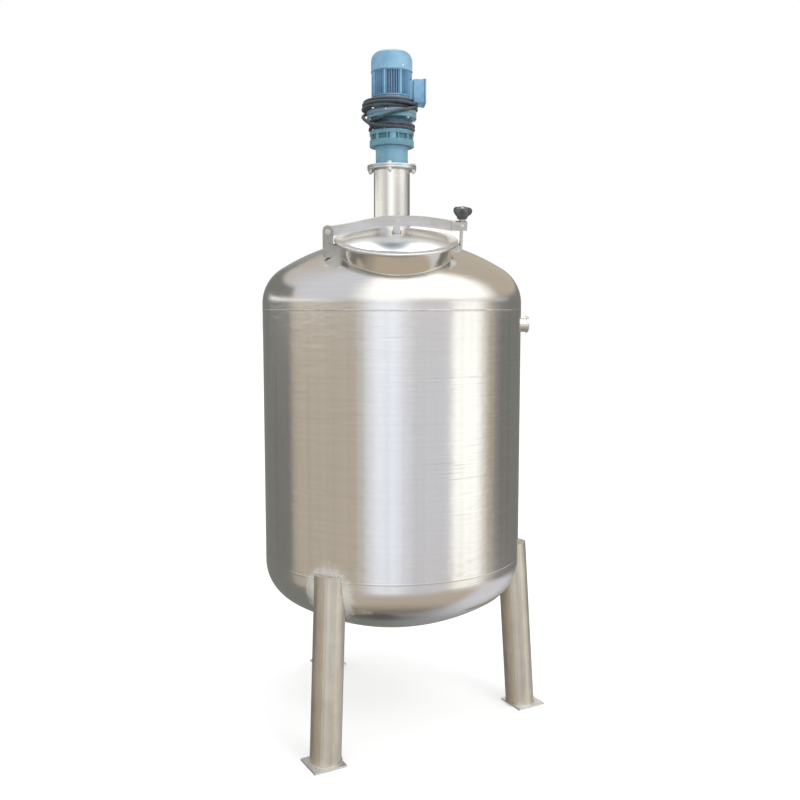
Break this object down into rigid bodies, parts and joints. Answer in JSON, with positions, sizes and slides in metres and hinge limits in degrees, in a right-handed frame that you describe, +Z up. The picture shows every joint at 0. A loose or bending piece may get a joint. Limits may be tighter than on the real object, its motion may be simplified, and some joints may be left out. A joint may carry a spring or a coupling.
{
  "type": "industrial mixer",
  "caption": "Closed stainless mixing tank on raked pipe legs, with a clamped round manhole, a side nozzle, a bottom outlet and a geared top motor on a pipe stand.",
  "frame": {"origin": "on the floor, under the middle of the outline", "axes": "+Z up along the tank's axis, -Y towards the manhole, +X towards the side nozzle and the terminal box"},
  "size_m": [1.1266, 1.1024, 2.592],
  "materials": {
    "tank_steel": "fine horizontal brushing",
    "neck_steel": "polished",
    "leg_steel": "satin",
    "bar_steel": "satin",
    "motor_paint": "satin enamel",
    "gearbox_paint": "satin enamel",
    "gasket_rubber": "matt",
    "cable_rubber": "matt",
    "knob_plastic": "gloss"
  },
  "bodies": {
    "tank": {"shell": "tank_steel", "top_head": "tank_steel", "bottom_head": "tank_steel", "bottom_outlet": "tank_steel", "side_nozzle": "tank_steel", "leg_1": "leg_steel", "leg_2": "leg_steel", "leg_3": "leg_steel", "leg_cap_1": "leg_steel", "leg_cap_2": "leg_steel", "leg_cap_3": "leg_steel", "foot_plate_1": "leg_steel", "foot_plate_2": "leg_steel", "foot_plate_3": "leg_steel", "manhole_neck": "neck_steel", "manhole_gasket": "gasket_rubber", "hinge_bracket": "bar_steel", "hinge_pin": "bar_steel", "clamp_lug": "bar_steel", "lug_pin": "bar_steel", "stand_tube": "tank_steel", "stand_flange": "tank_steel", "drive_flange": "tank_steel", "adaptor_drum": "gearbox_paint", "reducer_housing": "gearbox_paint", "reducer_neck": "gearbox_paint", "motor_end_shield": "motor_paint", "motor_body": "motor_paint", "fan_cowl": "motor_paint", "terminal_box": "motor_paint", "terminal_box_cover": "motor_paint", "cable_gland": "cable_rubber", "cable_lead": "cable_rubber", "cable_crossing": "cable_rubber", "cable_coil_upper": "cable_rubber", "cable_coil_lower": "cable_rubber", "agitator_shaft": "tank_steel", "agitator_impeller": "tank_steel"},
    "lid": {"manhole_lid": "tank_steel", "crossbar": "bar_steel", "crossbar_fork": "bar_steel", "lid_clevis": "bar_steel"},
    "clamp_bolt": {"bolt_trunnion": "bar_steel", "hook_bolt": "bar_steel"},
    "knob": {"star_knob": "knob_plastic"}
  },
  "joints": [
    {"name": "lid_hinge", "type": "hinge", "parent": "tank", "child": "lid", "pos_m": [-0.30329, -0.31465, 1.89255], "axis": [0, -0.9563, -0.2924], "range_deg": [0, 110]},
    {"name": "bolt_swing", "type": "hinge", "parent": "lid", "child": "clamp_bolt", "pos_m": [0.17171, -0.32093, 1.91311], "axis": [0, -0.9563, -0.2924], "range_deg": [0, 18]},
    {"name": "knob_turn", "type": "hinge", "parent": "clamp_bolt", "child": "knob", "pos_m": [0.17171, -0.33424, 1.95662], "axis": [0, -0.2924, 0.9563], "range_deg": [0, 720]}
  ]
}
